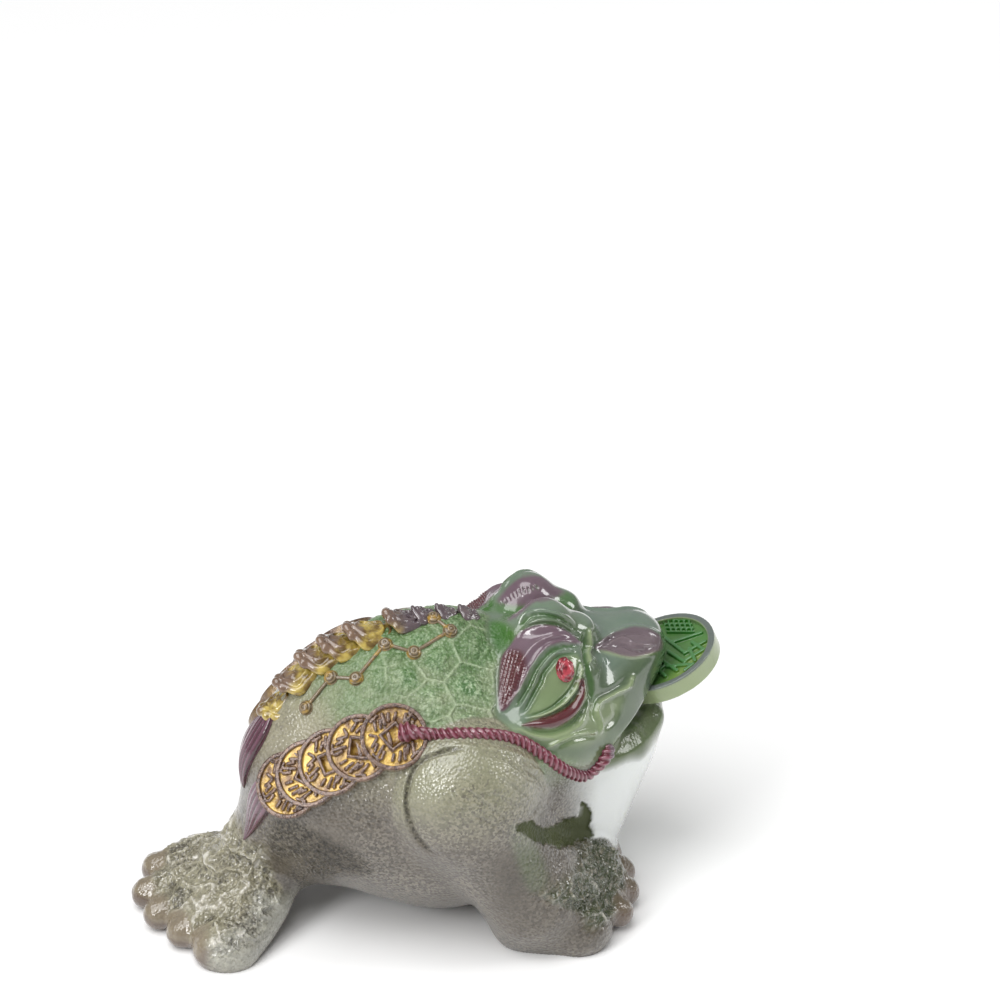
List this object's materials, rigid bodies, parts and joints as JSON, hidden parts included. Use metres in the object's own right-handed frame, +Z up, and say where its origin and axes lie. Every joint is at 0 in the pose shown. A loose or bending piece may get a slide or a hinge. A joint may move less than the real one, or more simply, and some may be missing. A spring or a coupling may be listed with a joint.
{
  "type": "money toad figure",
  "caption": "Crouching three-legged toad figure with a coin in its mouth, coin strings over the flanks and plates down the spine; stands flat on its belly and feet as a tabletop ornament.",
  "frame": {"origin": "centre of the bounding box on the surface the toad stands on", "axes": "+X runs from the tail to the nose, +Y is the toad's left, +Z is up"},
  "size_m": [0.105, 0.062, 0.0557],
  "materials": {
    "resin": "cast translucent resin with a clear gloss, green over the head and back, grey olive below, with painted trim"
  },
  "bodies": {
    "root": {"toad": "resin"}
  },
  "joints": []
}
